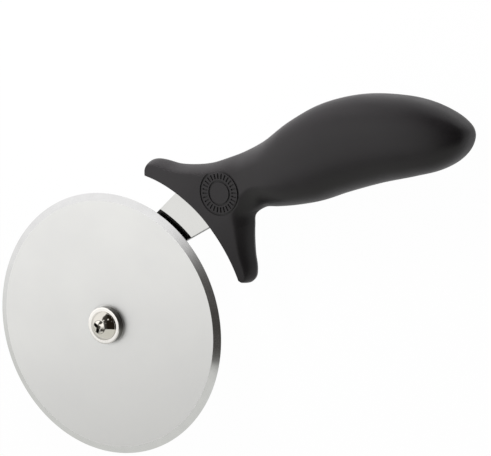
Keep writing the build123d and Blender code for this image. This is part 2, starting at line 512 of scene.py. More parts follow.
class Workshop:
    """Shared node groups and materials, each built once."""

    def __init__(self, places: Places) -> None:
        """Builds the groups and keeps the places.

        Args:
            places: where the axle is, on which turned finishes are centred.
        """
        self.places = places
        self.speckle, self.rings = speckle_group(), turned_group()
        self.made: dict[Finish, bpy.types.Material] = {}

    def grained(self, nodes: Nodes, place: Socket, grain: float) -> Socket:
        """Speckle of a grain size."""
        speckle = nodes.add("Group", {"Vector": place, "Grain": grain}, node_tree=self.speckle)
        return speckle.outputs["Value"]

    def ringed(self, nodes: Nodes, place: Socket, pitch: float) -> Socket:
        """Turned rings, centred on the axle.

        Args:
            nodes: nodes of the material.
            place: where the rings are read.
            pitch: mean distance between two rings.

        Returns:
            The rings' value, from 0 to 1.
        """
        centre = (-self.places.axle_x, -self.places.axle_y, -self.places.edge_level)
        centred = nodes.add("Mapping", {"Vector": place, "Location": centre}).outputs[0]
        rings = nodes.add("Group", {"Vector": centred, "Pitch": pitch}, node_tree=self.rings)
        return rings.outputs["Value"]

    def material(self, finish: Finish) -> bpy.types.Material:
        """Material of a finish, built the first time that it is asked for.

        Args:
            finish: the finish.

        Returns:
            The material.
        """
        if finish not in self.made:
            self.made[finish] = finish.material(self)
        return self.made[finish]


@dataclass(frozen=True)
class Finish:
    """What every finish has: two colours, a range of roughness, fine relief and large soft clouds."""

    name: str
    base: Colour
    shade: Colour
    roughness: Pair
    grain: float
    depth: float
    cloud: float
    worn_span: Pair

    def relief(self, shop: Workshop, nodes: Nodes, place: Socket) -> Socket:
        """Fine relief that the tool or the mould left."""
        raise NotImplementedError

    def tone(self, cloud: Socket, mean: Socket) -> Socket:
        """Share of the shade in the colour, from the clouds or their mean with the relief."""
        raise NotImplementedError

    def set_up(self, shader: bpy.types.Node) -> None:
        """Sets what only this kind of finish has."""
        raise NotImplementedError

    def material(self, shop: Workshop) -> bpy.types.Material:
        """Builds the material.

        The relief is its bump, the mean of the clouds and the relief is eased over the worn span to make
        its roughness, and the tone's share makes its colour.

        Args:
            shop: the shared node groups.

        Returns:
            The material.
        """
        material, nodes = new_material(self.name)
        shader = nodes.add("BsdfPrincipled")
        nodes.add("OutputMaterial", {"Surface": shader.outputs[0]})
        place = nodes.add("TexCoord").outputs["Object"]
        cloud, relief = shop.grained(nodes, place, self.cloud), self.relief(shop, nodes, place)
        mean = nodes.math("MULTIPLY", nodes.math("ADD", cloud, relief), 0.5)
        nodes.feed(shader, "Base Color", nodes.mixed(self.tone(cloud, mean), self.base, self.shade))
        nodes.feed(shader, "Roughness", nodes.eased(mean, *self.worn_span, *self.roughness))
        bump = nodes.add("Bump", {"Height": relief, "Strength": 1.0, "Distance": self.depth})
        nodes.feed(shader, "Normal", bump.outputs[0])
        self.set_up(shader)
        return material


@dataclass(frozen=True)
class MouldedPlastic(Finish):
    """Matt plastic as it leaves a spark eroded mould: fine pits, faint clouds of colour."""

    worn_span: Pair = (0.2, 0.8)
    specular: float = 0.5

    def relief(self, shop: Workshop, nodes: Nodes, place: Socket) -> Socket:
        """Pits of the mould's grain."""
        return shop.grained(nodes, place, self.grain)

    def tone(self, cloud: Socket, mean: Socket) -> Socket:
        """Clouds and pits colour the plastic alike."""
        return mean

    def set_up(self, shader: bpy.types.Node) -> None:
        """Sets the level of the plastic's gloss."""
        shader.inputs["Specular IOR Level"].default_value = self.specular


@dataclass(frozen=True)
class Metal(Finish):
    """Bare or plated metal: turned rings in the finish, soft clouds where it was handled."""

    worn_span: Pair = (0.1, 0.9)

    def relief(self, shop: Workshop, nodes: Nodes, place: Socket) -> Socket:
        """Rings that turning or grinding left."""
        return shop.ringed(nodes, place, self.grain)

    def tone(self, cloud: Socket, mean: Socket) -> Socket:
        """Clouds alone colour the metal."""
        return cloud

    def set_up(self, shader: bpy.types.Node) -> None:
        """Makes the shader a metal."""
        shader.inputs["Metallic"].default_value = 1.0


SATIN_BLADE = Metal(
    "satin_blade", base=(0.82, 0.82, 0.81), shade=(0.80, 0.80, 0.795), roughness=(0.42, 0.46),
    grain=0.22 * MM, depth=0.0002 * MM, cloud=22 * MM)
GROUND_BEVEL = Metal(
    "ground_bevel", base=(0.80, 0.80, 0.81), shade=(0.74, 0.74, 0.75), roughness=(0.10, 0.17),
    grain=0.06 * MM, depth=0.0004 * MM, cloud=6 * MM)
# Painted shade: a near-black tone on the ring behind the disc's edge, so that the shank mirrors a black
# strip under the rim, where the gap between them lies in shade.
PAINTED_SHADE_BACK_RING = Metal(
    "painted_shade_back_ring", base=(0.07, 0.068, 0.066), shade=(0.045, 0.044, 0.042), roughness=(0.24, 0.34),
    grain=0.10 * MM, depth=0.0006 * MM, cloud=5 * MM)
TURNED_BUSH = Metal(
    "turned_bush", base=(0.89, 0.867, 0.838), shade=(0.84, 0.82, 0.79), roughness=(0.10, 0.18),
    grain=0.12 * MM, depth=0.0008 * MM, cloud=5 * MM)
# Painted shade: the collar's side takes a far darker tone than its front, standing in for the dark
# surroundings that it mirrors.
PAINTED_SHADE_COLLAR_SIDE = Metal(
    "painted_shade_collar_side", base=(0.27, 0.265, 0.255), shade=(0.21, 0.205, 0.195), roughness=(0.12, 0.22),
    grain=0.10 * MM, depth=0.0008 * MM, cloud=5 * MM)
BRIGHT_NICKEL = Metal(
    "bright_nickel", base=(0.80, 0.77, 0.72), shade=(0.76, 0.73, 0.67), roughness=(0.05, 0.09),
    grain=0.3 * MM, depth=0.0003 * MM, cloud=4 * MM)
# Painted shade: the recess's steep faces take a far darker tone than the nickel, standing in for the shade
# inside the recess.
PAINTED_SHADE_RECESS = Metal(
    "painted_shade_recess", base=(0.20, 0.19, 0.17), shade=(0.13, 0.125, 0.115), roughness=(0.22, 0.34),
    grain=0.2 * MM, depth=0.0006 * MM, cloud=2 * MM)
BRIGHT_POLISH = Metal(
    "bright_polish", base=(0.57, 0.57, 0.56), shade=(0.55, 0.55, 0.54), roughness=(0.05, 0.08),
    grain=0.4 * MM, depth=0.0001 * MM, cloud=9 * MM)
# The shank's sheared edges: rougher as stamping leaves them, and darker than the polished faces as painted
# shade.
SHEARED_EDGE_AND_SHADE = Metal(
    "sheared_edge_and_shade", base=(0.30, 0.30, 0.295), shade=(0.22, 0.22, 0.215), roughness=(0.4, 0.5),
    grain=0.4 * MM, depth=0.002 * MM, cloud=3 * MM)
NATURAL_NYLON = MouldedPlastic(
    "natural_nylon", base=(0.74, 0.73, 0.69), shade=(0.80, 0.79, 0.75), roughness=(0.38, 0.5),
    grain=0.5 * MM, depth=0.004 * MM, cloud=6 * MM, specular=0.4)
CHARCOAL_PLASTIC = MouldedPlastic(
    "charcoal_plastic", base=(0.0095, 0.0085, 0.0093), shade=(0.0155, 0.0139, 0.0152),
    roughness=(0.36, 0.46), grain=0.32 * MM, depth=0.012 * MM, cloud=14 * MM, specular=0.36)


@dataclass
class SubAssembly:
    """Pieces that are built at their places in the frame and dressed in the workshop's materials."""

    places: Places
    shop: Workshop

    def build(self) -> None:
        """Makes and dresses the pieces."""
        raise NotImplementedError

    def make(self, name: str, mesh: Mesh, sharp_angle: float = SHARP_ANGLE) -> bpy.types.Object:
        """Piece from points that count from the axle, and their faces."""
        return make_piece(name, self.places.placed(mesh[0].reshape(-1, 3)), mesh[1], sharp_angle)

    def dress(self, piece: bpy.types.Object, body: Body, slot: Slot, node: str, *finishes: Finish,
              chosen: Array | None = None) -> None:
        """Gives a piece its finishes and its place in the frame's record.

        Args:
            piece: the piece.
            body: body that it rides on.
            slot: its material slot; not used.
            node: node that it stands for.
            finishes: its finishes.
            chosen: number of the finish of each face, where it has more than one.
        """
        piece.data.materials.clear()
        for finish in finishes:
            piece.data.materials.append(self.shop.material(finish))
        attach(piece, body.value)
        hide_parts(node)
        if chosen is not None:
            piece.data.polygons.foreach_set("material_index", chosen.astype(np.int32))

    def centres(self, piece: bpy.types.Object) -> tuple[Array, Array]:
        """Radius and level of the centres of a piece's faces, counted from the axle."""
        x, y, level = (face_values(piece, "center") - self.places.placed(np.zeros(3))).T
        return np.hypot(x, y), level


@dataclass
class Disc(SubAssembly):
    """Cutting wheel: a satin disc, ground to its edge by a wide bevel in front and a narrow one behind."""

    bevel_width: float = 2.8 * MM
    bevel_depth: float = 1.2 * MM
    bevel_corner: float = 0.08 * MM
    back_bevel_width: float = 0.8 * MM
    back_bevel_corner: float = 0.1 * MM
    back_ring_width: float = 3.2 * MM
    edge_land: float = 0.1 * MM
    edge_corner: float = 0.02 * MM
    bore: float = 4.05 * MM
    bore_corner: float = 0.1 * MM
    seat_radius: float = 7.85 * MM
    seat_depth: float = 0.1 * MM
    seat_corner: float = 0.05 * MM
    sharp_angle: float = 14.0
    segments: int = 512

    def build(self) -> None:
        """Makes the disc, with a finish of its own on the front bevel, and painted shade on the ring behind
        its edge, back bevel included.
        """
        low, high, edge = self.places.span("cutting_wheel")
        profile = section([
            (self.bore, low, self.bore_corner),
            (edge - self.back_ring_width, low, 0.0),
            (edge - self.back_bevel_width, low, self.back_bevel_corner),
            (edge, -self.edge_land / 2, self.edge_corner),
            (edge, self.edge_land / 2, self.edge_corner),
            (edge - self.bevel_width, high, self.bevel_corner),
            (self.seat_radius, high, self.seat_corner),
            (self.seat_radius, high - self.seat_depth, 0.0),
            (self.bore, high - self.seat_depth, self.bore_corner),
        ], steps=3)
        piece = self.make("blade_disc", turned(profile, self.segments), self.sharp_angle)
        far, level = self.centres(piece)
        # Faces of the ring behind the edge, back bevel included, take the painted shade.
        bevel, ring = far > edge - self.bevel_width, far > edge - self.back_ring_width
        finishes = SATIN_BLADE, GROUND_BEVEL, PAINTED_SHADE_BACK_RING
        chosen = np.where(level > 0, bevel, finishes.index(PAINTED_SHADE_BACK_RING) * ring)
        self.dress(piece, Body.WHEEL, Slot.BLADE, "cutting_wheel", *finishes, chosen=chosen)


@dataclass
class Axle(SubAssembly):
    """Bush, screw, washers and cap nut that carry the disc on the shank."""

    hole: float = 2.65 * MM
    hole_corner: float = 0.1 * MM
    sleeve: float = 4.0 * MM
    sleeve_corner: float = 0.2 * MM
    collar_height: float = 2.65 * MM
    collar_edge: float = 0.45 * MM
    collar_foot: float = 0.12 * MM
    collar_slope: float = 0.5
    spacer_edge: float = 0.25 * MM
    washer_edge: float = 0.15 * MM
    rim_height: float = 0.5 * MM
    rim_corner: float = 0.15 * MM
    head_radius: float = 5.6 * MM
    head_height: float = 3.4 * MM
    head_steps: int = 110
    head_sharp_angle: float = 40.0
    stem: float = 2.5 * MM
    stem_corner: float = 0.1 * MM
    stem_end: float = 0.5 * MM
    recess_reach: float = 2.5 * MM
    recess_half_width: float = 0.74 * MM
    recess_taper: float = 0.3
    recess_depth: float = 1.5 * MM
    recess_power: int = 5
    recess_wall: float = 0.16 * MM
    recess_turn: float = 47.0
    recess_steep: float = 0.93
    split: float = 0.7 * MM
    split_slant: float = 30.0
    split_edge: float = 0.12 * MM
    nut_flats: float = 8.0 * MM
    nut_hex_height: float = 3.6 * MM
    nut_hex_steps: int = 30
    nut_corner: float = 0.06 * MM
    nut_cone: float = 0.72 * MM
    nut_cone_slope: float = 1.9
    nut_dome_radius: float = 3.7 * MM
    nut_dome_steps: int = 24
    nut_sharp_angle: float = 24.0
    segments: int = 192

    def ring_section(self, node: str, edge: float) -> Array:
        """Section of a flat ring, of a node's height and outer radius.

        Args:
            node: the node.
            edge: rounding of its four edges.

        Returns:
            The points of the section.
        """
        low, high, outer = self.places.span(node)
        corners = (self.hole, low), (outer, low), (outer, high), (self.hole, high)
        return section([(*corner, edge) for corner in corners])

    def bush(self) -> bpy.types.Object:
        """Sleeve through the disc under the round collar that shows in front.

        Returns:
            The bush.
        """
        low, high, outer = self.places.span("hub_bush")
        seat = high - self.collar_height
        profile = section([
            (self.hole, low, self.hole_corner),
            (self.sleeve, low, self.sleeve_corner),
            (self.sleeve, seat, 0.0),
            (outer, seat, self.collar_foot),
            (outer, high, self.collar_edge),
            (self.hole, high, self.hole_corner),
        ], steps=8)
        return self.make("bush_collar", turned(profile, self.segments))

    def recess(self, x: Array, y: Array) -> Array:
        """Depth of the cross recess.

        Along a wing the floor is nearly flat and rises at the wing's end, as one less the fifth power of
        the share of the reach. Across the wing it keeps that value and ends in a steep eased wall.

        Args:
            x: places along X from the head's middle.
            y: places along Y from the head's middle.

        Returns:
            The depth at each place.
        """
        turn = math.radians(self.recess_turn)
        along = x * math.cos(turn) + y * math.sin(turn)
        across = y * math.cos(turn) - x * math.sin(turn)
        depth = np.zeros_like(x)
        for far, side in ((np.abs(along), np.abs(across)), (np.abs(across), np.abs(along))):
            share = np.clip(far / self.recess_reach, 0, 1)
            half_width = self.recess_half_width * (1 - self.recess_taper * share)
            wall = 1 - smooth_step(0, 1, (side - half_width) / self.recess_wall + 0.5)
            depth = np.maximum(depth, self.recess_depth * (1 - share**self.recess_power) * wall)
        return depth

    def screw(self) -> bpy.types.Object:
        """Truss head with its cross recess, on its stem: rings of points from the crown outwards and down.

        The crown is a ball's cap: its radius is the rim's square and the rise's square over twice the rise.

        Returns:
            The screw.
        """
        low, high, _ = self.places.span("axle_screw")
        base = high - self.head_height
        rise = self.head_height - self.rim_height
        ball = (self.head_radius**2 + rise**2) / (2 * rise)
        radius = self.head_radius * np.linspace(0, 1, self.head_steps)
        dome = np.column_stack([radius, high - ball + np.sqrt(ball**2 - radius**2)])
        under = section([
            (self.head_radius, base + self.rim_height, 0.0), (self.head_radius, base, self.rim_corner),
            (self.stem, base, self.stem_corner), (self.stem, low, self.stem_end), (0.0, low, 0.0),
        ], closed=False)
        profile = np.vstack([dome, under[1:]])
        points, faces = turned(profile, 2 * self.segments)
        grid = points.reshape(len(profile), -1, 3)
        head = grid[: len(dome)]
        head[..., 2] -= self.recess(head[..., 0], head[..., 1])
        return self.make("truss_screw", (grid, faces), self.head_sharp_angle)

    def in_recess(self, screw: bpy.types.Object) -> Array:
        """Faces that stand steeply in the recess, its walls and the ends of its wings, which take a painted
        shade.

        Args:
            screw: the screw.

        Returns:
            True for each such face.
        """
        far, level = self.centres(screw)
        steep = face_values(screw, "normal")[:, 2] < self.recess_steep
        inside = far < self.recess_reach + self.recess_wall
        return steep & inside & (level > self.places.span("axle_screw")[1] - self.head_height)

    def spring_washer(self) -> bpy.types.Object:
        """Ring with a slanting split: its section is carried round from one side of the split to the other.

        Returns:
            The washer.
        """
        low, high, _ = self.places.span("lock_washer")
        radius, level = self.ring_section("lock_washer", self.split_edge).T
        count = len(radius)
        lean = (level - (low + high) / 2) * math.tan(math.radians(self.split_slant))
        start = np.arcsin((self.split / 2 - lean) / radius)
        end = FULL_TURN - np.arcsin((self.split / 2 + lean) / radius)
        turn = start + (end - start) * np.linspace(0, 1, self.segments)[:, None]
        faces = sheet_faces(self.segments, count).tolist()
        faces += [list(range(first, first + count - 1)) for first in (0, (self.segments - 1) * count)]
        return self.make("spring_washer", (swept(radius, level, turn), np.array(faces, dtype=object)))

    def nut(self) -> bpy.types.Object:
        """Cap nut under the shank.

        At each level the hexagon's radius at turn a is its half width over the cosine of the turn from
        the nearest flat, and a cone through the corners trims it. Below it stands the round cap.

        Returns:
            The nut.
        """
        low, high, _ = self.places.span("cap_nut")
        hex_low = high - self.nut_hex_height
        sixth, half = math.pi / 3, math.pi / 6
        corner = self.nut_flats / 2 / math.cos(half)
        level = hex_low + self.nut_hex_height * np.linspace(0, 1, self.nut_hex_steps + 1)[:, None]
        turn = np.linspace(0, FULL_TURN, 2 * self.segments, endpoint=False)
        flat = self.nut_flats / 2 / np.cos((turn + half) % sixth - half)
        cone = corner - self.nut_cone + self.nut_cone_slope * np.minimum(level - hex_low, high - level)
        hexagon = np.minimum(np.minimum(flat, cone), corner - self.nut_corner)
        cap = np.linspace(0, math.pi / 2, self.nut_dome_steps)[:, None]
        dome = self.nut_dome_radius * np.vstack([np.sin(cap), [[1.0]]]) + 0 * turn
        radius = np.vstack([dome, hexagon, self.stem + 0 * turn, 0 * turn])
        cap_level = low + self.nut_dome_radius * (1 - np.cos(cap))
        levels = np.vstack([cap_level, [[hex_low]], level, [[high]], [[high]]])
        mesh = swept(radius, levels, turn), sheet_faces(len(radius), len(turn), wrapped=True)
        return self.make("dome_nut", mesh, self.nut_sharp_angle)

    def build(self) -> None:
        """Makes and dresses the pieces from the front to the back."""
        bush = self.bush()
        # The collar's steep faces take a darker tone: painted shade.
        self.dress(bush, Body.FRAME, Slot.BUSH, "hub_bush", TURNED_BUSH, PAINTED_SHADE_COLLAR_SIDE,
                   chosen=np.abs(face_values(bush, "normal")[:, 2]) < self.collar_slope)
        screw = self.screw()
        # The recess's steep faces take a darker tone: painted shade.
        self.dress(screw, Body.FRAME, Slot.NICKEL, "axle_screw", BRIGHT_NICKEL, PAINTED_SHADE_RECESS,
                   chosen=self.in_recess(screw))
        rings = (("nylon_spacer", "thrust_washer", self.spacer_edge),
                 ("flat_washer", "plain_washer", self.washer_edge))
        spacer, washer = (self.make(name, turned(self.ring_section(node, edge), self.segments))
                          for name, node, edge in rings)
        self.dress(spacer, Body.FRAME, Slot.NYLON, "thrust_washer", NATURAL_NYLON)
        self.dress(washer, Body.FRAME, Slot.NICKEL, "plain_washer", BRIGHT_NICKEL)
        self.dress(self.spring_washer(), Body.FRAME, Slot.NICKEL, "lock_washer", BRIGHT_NICKEL)
        self.dress(self.nut(), Body.FRAME, Slot.NICKEL, "cap_nut", BRIGHT_NICKEL)


@dataclass
class Shank(SubAssembly):
    """Flat polished arm: its rounded section is carried from the axle's end to the end of the tang."""

    hub_radius: float = 9.5 * MM
    limb_angle: float = 58.0
    upper: Pair = (45.2 * MM, 41.5 * MM)
    upper_angle: float = 25.3
    upper_bend: float = 50.0 * MM
    lower: Pair = (55.0 * MM, 25.5 * MM)
    lower_angle: float = 12.1
    lower_bend: float = 35.0 * MM
    shoulder: float = 5.5 * MM
    shoulder_radius: float = 2.0 * MM
    tang_width: float = 11.0 * MM
    tang_level: float = 38.0 * MM
    edge_radius: float = 0.16 * MM
    edge_support: float = 0.40 * MM
    edge_slope: float = 0.3
    hole: float = 2.65 * MM
    foot_steps: int = 25
    bend_steps: int = 16
    edge_steps: int = 5
    drill_segments: int = 96
    drill_clear: float = 1.0 * MM

    def side(self, upper: bool, tang_end: float) -> Array:
        """One long edge of the plate.

        Args:
            upper: True for the upper edge.
            tang_end: place of the tang's end along X.

        Returns:
            Its points, from the foot of the plate's round end to the end of the tang.
        """
        sign = 1 if upper else -1
        end, angle, bend = ((self.upper, self.upper_angle, self.upper_bend) if upper
                            else (self.lower, self.lower_angle, self.lower_bend))
        foot = way(self.limb_angle + sign * np.linspace(180, 90, self.foot_steps)) * self.hub_radius
        shoulder = np.array(end) + way(angle) * self.shoulder
        tang = self.tang_level + sign * self.tang_width / 2
        bent = crossing(foot[-1], self.limb_angle, np.array(end), angle)
        corners = np.array([
            foot[-1], bent, shoulder, (shoulder[0] + self.shoulder, tang), (tang_end, tang)])
        radii = np.array([0, bend, self.shoulder_radius, self.shoulder_radius, 0])
        return np.vstack([foot, rounded(corners, radii, self.bend_steps, closed=False)])

    def plate(self) -> Mesh:
        """Whole plate: between its two long edges, a section whose four corners are quarter circles.

        Returns:
            The points, counted from the axle, and the faces.
        """
        low, high, _ = self.places.span("shank")
        tang_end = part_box("shank")[1].x - self.places.axle_x
        left, right = self.side(True, tang_end), self.side(False, tang_end)
        width = np.linalg.norm(left - right, axis=1)[:, None]
        across = ((right - left) / np.maximum(width, WELD))[:, None]
        turn = np.radians(np.linspace(0, 90, self.edge_steps))
        inset, rise = self.edge_radius * (1 - np.sin(turn)), self.edge_radius * (1 - np.cos(turn))
        inset = np.concatenate([[self.edge_support], inset, inset[::-1], [self.edge_support]])
        level = np.concatenate([[high], high - rise, low + rise[::-1], [low]])
        near = np.minimum(inset, width / 2)[..., None]
        front, behind = left[:, None] + across * near, right[:, None] - across * near
        flat = np.concatenate([front, behind[:, ::-1]], axis=1)
        level = np.broadcast_to(np.concatenate([level, level[::-1]]), flat.shape[:2])
        rows, count = level.shape
        faces = sheet_faces(rows, count, wrapped=True).tolist()
        faces.append(list(range((rows - 1) * count, rows * count)))
        return np.concatenate([flat, level[..., None]], axis=2), np.array(faces, dtype=object)

    def build(self) -> None:
        """Makes the plate, drills it for the axle and dresses it."""
        low, high, _ = self.places.span("shank")
        piece = self.make("shank_plate", self.plate())
        below, above = low - self.drill_clear, high + self.drill_clear
        drill = np.array([(0, below), (self.hole, below), (self.hole, above), (0, above)])
        cut(piece, self.make("axle_drill", turned(drill, self.drill_segments)))
        # The sheared edges take a rougher, darker tone, the darkness partly painted shade.
        self.dress(piece, Body.FRAME, Slot.SHANK, "shank", BRIGHT_POLISH, SHEARED_EDGE_AND_SHADE,
                   chosen=np.abs(face_values(piece, "normal")[:, 2]) < self.edge_slope)


@dataclass
class Handle(SubAssembly):
    """Black moulding: a crescent guard with two wings, a neck and a humped grip, as one closed surface.

    Its front is a sheet between the outline, where it has no height, and the spine: the crescent's edge,
    and the grip's middle line from there on. The back mirrors it, and a wall closes the crescent.

    Stations of a wing hold a share of the crescent's half span, a depth behind its arc in wing depths and
    how far the side rounds inwards in millimetres. Stations of the grip hold a share of its length, a
    height from its level in grip heights and the same. Stations of the thickness hold two shares.
    """

    arc_x: float = 11.4 * MM
    arc_y: float = 4.7 * MM
    arc_radius: float = 52.05 * MM
    axis_angle: float = 30.7
    half_span: float = 31.8
    wing_depth: float = 8.0 * MM
    guard_half: float = 6.5 * MM
    tip_thinning: float = 0.33
    thinning_start: float = 0.25
    thinning_power: float = 1.5
    edge_radius: float = 0.16 * MM
    grip_start: float = 62.0 * MM
    grip_length: float = 111.0 * MM
    grip_height: float = 33.0 * MM
    grip_level: float = 38.0 * MM
    grip_half: float = 12.0 * MM
    side_power: float = 1.42
    grip_power: float = 2.6
    end_power: float = 2.5
    end_length: float = 34.0 * MM
    play: float = 0.02 * MM
    swell: Pair = (72.0 * MM, 102.0 * MM)
    thickness_swell: Pair = (70.0 * MM, 76.0 * MM)
    neck_upper: float = 72.0 * MM
    neck_lower: float = 79.0 * MM
    fan_end: float = 116.0 * MM
    spine_rise: float = 30.0 * MM
    corner_fan: float = 9.0 * MM
    corner_spread: float = 0.02
    late_fan: Pair = (0.45, 1.0)
    rounding_share: float = 0.5
    rounding_reach: float = 1.2
    crowding: Pair = (2.0, 0.5)
    grip_share: float = 0.6
    last_share: float = 0.1
    last_reach: float = 2.0
    rounding_columns: int = 19
    flat_columns: int = 19
    edge_columns: int = 7
    wall_columns: int = 9
    wing_steps: int = 150
    grip_steps: int = 170
    sharp_angle: float = 40.0
    emblem_radius: float = 8.6 * MM
    emblem_inner: float = 4.8 * MM
    emblem_line: float = 0.8 * MM
    emblem_depth: float = 0.4 * MM
    emblem_clear: float = 3.0 * MM
    emblem_setback: float = 12.7 * MM
    emblem_share: float = -0.023
    emblem_segments: int = 128
    emblem_ticks: int = 28
    emblem_tick: float = 0.6 * MM
    emblem_gaps: Pair = (0.5 * MM, 0.4 * MM)
    upper_wing: Stations = (
        (1.008, 0.00, 0.4), (1.035, 0.33, 0.9), (1.018, 0.61, 1.4), (0.968, 0.775, 1.9),
        (0.893, 0.89, 2.3), (0.800, 0.955, 2.5), (0.640, 1.065, 2.7), (0.450, 1.46, 3.0),
        (0.285, 2.07, 3.8),
    )
    lower_wing: Stations = (
        (-1.014, 0.00, 0.4), (-1.046, 0.10, 0.6), (-1.056, 0.29, 1.0), (-1.036, 0.50, 1.6),
        (-0.998, 0.67, 2.4), (-0.946, 0.785, 3.0), (-0.880, 0.88, 3.5), (-0.760, 1.00, 4.0),
        (-0.600, 1.29, 4.4), (-0.480, 1.64, 5.2), (-0.400, 1.99, 6.5),
    )
    upper_grip: Stations = (
        (0.085, 0.325, 5.0), (0.150, 0.340, 6.0), (0.250, 0.400, 7.0), (0.370, 0.530, 8.0),
        (0.500, 0.615, 8.0), (0.640, 0.595, 8.0), (0.770, 0.480, 8.0), (0.860, 0.350, 8.0),
        (0.930, 0.190, 8.0), (0.975, 0.040, 8.0),
    )
    lower_grip: Stations = (
        (0.175, -0.318, 8.5), (0.230, -0.350, 9.0), (0.300, -0.385, 9.0), (0.400, -0.412, 8.0),
        (0.500, -0.397, 8.0), (0.640, -0.395, 8.0), (0.770, -0.420, 8.0), (0.860, -0.425, 8.0),
        (0.930, -0.370, 8.0), (0.975, -0.270, 8.0),
    )
    thickness: Stations = (
        (0.00, 0.54), (0.09, 0.545), (0.13, 0.56), (0.19, 0.67), (0.27, 0.84), (0.37, 0.95), (0.50, 1.00),
        (1.00, 1.00),
    )

    def around(self, share: float | Array, depth: float | Array) -> Array:
        """Point at a share of the crescent's half span from its middle, and at a depth behind its arc."""
        far = self.arc_radius + np.asarray(depth)[..., None]
        return np.array([self.arc_x, self.arc_y]) + way(self.axis_angle + self.half_span * share) * far

    def outline(self) -> tuple[Array, Array]:
        """Smooth outline from the upper corner of the crescent, round the grip's end, to the lower corner.

        Returns:
            The points of the outline, and at each of them how far its rounded side reaches inwards.
        """
        wing_a, wing_b = (self.around(table[:, 0], table[:, 1] * self.wing_depth)
                          for table in (np.array(self.upper_wing), np.array(self.lower_wing)))
        size, start = (self.grip_length, self.grip_height), (self.grip_start, self.grip_level)
        grip_a, grip_b = (np.array(table)[:, :2] * size + start
                          for table in (self.upper_grip, self.lower_grip))
        end = [(self.grip_start + self.grip_length - self.play, (grip_a[-1, 1] + grip_b[-1, 1]) / 2)]
        line = smooth_curve(np.vstack([wing_a, grip_a, end, grip_b[::-1], wing_b[::-1]]))
        rows = (*self.upper_wing, *self.upper_grip, self.upper_grip[-1],
                *self.lower_grip[::-1], *self.lower_wing[::-1])
        reach = np.array(rows)[:, 2] * MM
        return line, np.interp(np.arange(len(line)), np.linspace(0, len(line) - 1, len(reach)), reach)

    def half_thickness(self, x: Array, y: Array) -> Array:
        """Half the thickness, before the sides round off.

        In the guard it thins towards the tips by a power of the span share. From the neck on it
        follows the grip's stations, and closes at the end as a flattened ellipse does.

        Args:
            x: places along X.
            y: places along Y.

        Returns:
            Half the thickness at each place.
        """
        angle = np.degrees(np.arctan2(y - self.arc_y, x - self.arc_x)) - self.axis_angle
        past = np.abs(angle) / self.half_span - self.thinning_start
        tip = np.clip(past / (1 - self.thinning_start), 0, None)
        guard = self.guard_half * (1 - self.tip_thinning * tip**self.thinning_power)
        table = np.array(self.thickness) * (self.grip_length, self.grip_half) + (self.grip_start, 0)
        curve = smooth_curve(table)
        grip = np.minimum(np.interp(x, curve[:, 0], curve[:, 1]), self.grip_half - self.play)
        end = self.grip_start + self.grip_length
        share = np.clip((x - end + self.end_length) / self.end_length, 0, 1)
        grip = grip * (1 - share**self.end_power) ** (1 / self.end_power)
        return guard + (grip - guard) * smooth_step(*self.thickness_swell, x)

    def height(self, x: Array, y: Array, line: Array, reach: Array) -> Array:
        """Height of the front above the middle plane.

        Near the outline the side is a quarter of a slightly peaked ellipse, as deep as its reach. Along
        the grip it becomes one flattened ellipse from the outline to the middle line, by an eased share
        of x. Along the crescent the edge falls off by a small quarter circle.

        Args:
            x: places along X.
            y: places along Y.
            line: points of the outline.
            reach: how far its side reaches inwards at each of them.

        Returns:
            The height at each place.
        """
        near = np.clip(nearness(np.column_stack([x, y]), line, reach), 0, 1)
        guard = (1 - (1 - near) ** self.side_power) ** (1 / self.side_power)
        end = int(np.argmax(line[:, 0]))
        top, bottom = line[:end + 1], line[end:][::-1]
        top = top[np.argmin(np.abs(top[:, 0] - self.neck_upper)):]
        bottom = bottom[np.argmax(bottom[:, 0] > self.neck_lower):]
        top_y, bottom_y = (np.interp(x, side[:, 0], side[:, 1]) for side in (top, bottom))
        half = np.maximum((top_y - bottom_y) / 2, WELD)
        far = np.clip(np.abs(y - (top_y + bottom_y) / 2) / half, 0, 1)
        grip = (1 - far**self.grip_power) ** (1 / self.grip_power)
        rise = self.half_thickness(x, y) * (guard + (grip - guard) * smooth_step(*self.swell, x))
        behind = np.hypot(x - self.arc_x, y - self.arc_y) - self.arc_radius
        drop = np.clip(1 - behind / self.edge_radius, 0, 1)
        return np.maximum(rise - self.edge_radius * (1 - np.sqrt(1 - drop**2)), 0)

